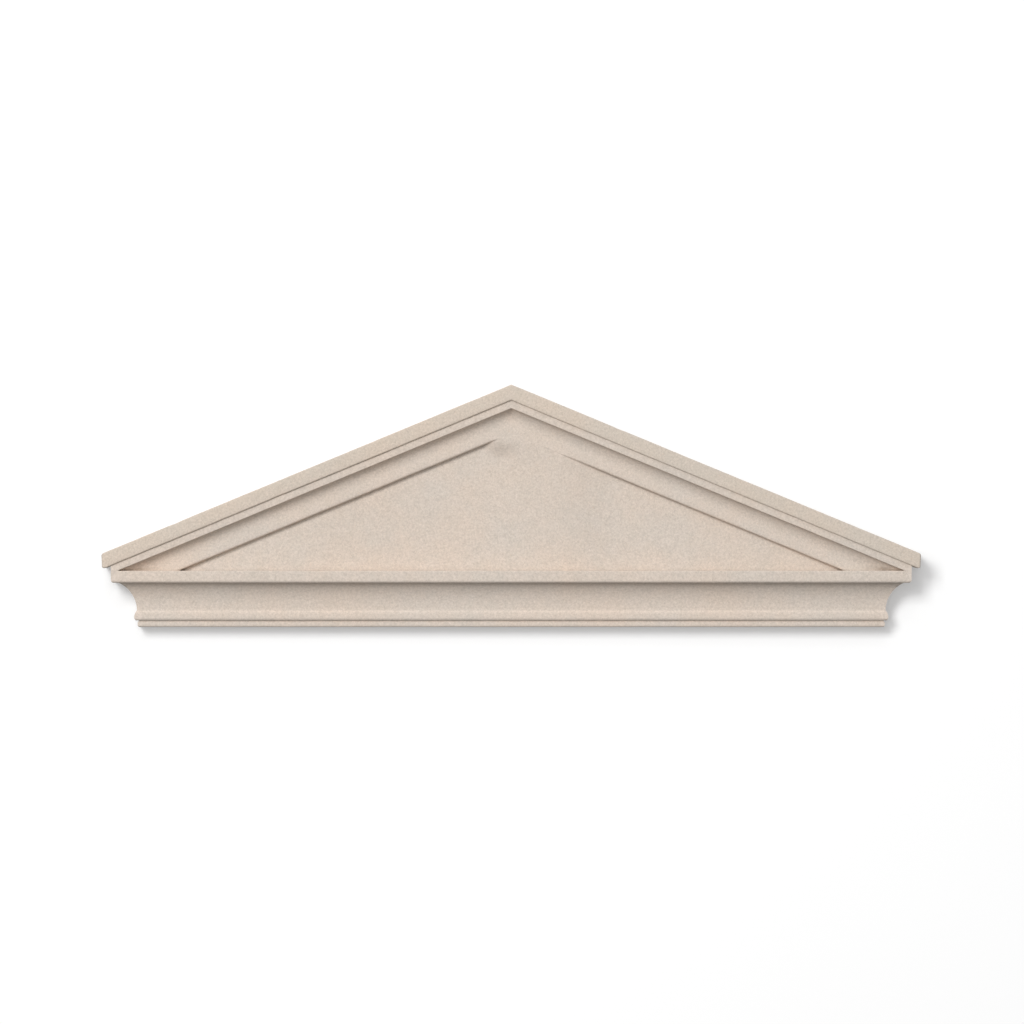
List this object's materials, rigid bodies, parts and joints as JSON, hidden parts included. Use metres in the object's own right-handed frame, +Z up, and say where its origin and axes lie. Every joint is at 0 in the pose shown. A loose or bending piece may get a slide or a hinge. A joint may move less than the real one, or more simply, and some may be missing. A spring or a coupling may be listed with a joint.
{
  "type": "classical pediment",
  "caption": "Low triangular pediment in one block of stone: raking cornices over a returned horizontal cornice and a plain sunk tympanum, to crown a doorway, window or niche.",
  "frame": {"origin": "middle of the flat bed, the underside that rests on the entablature or door head", "axes": "+X along the cornice, to the right of someone facing the front; +Y into the wall, so the front faces -Y; +Z up to the apex"},
  "size_m": [1.3996, 0.0996, 0.415],
  "materials": {
    "stone": "matte"
  },
  "bodies": {
    "root": {"pediment": "stone"}
  },
  "joints": []
}
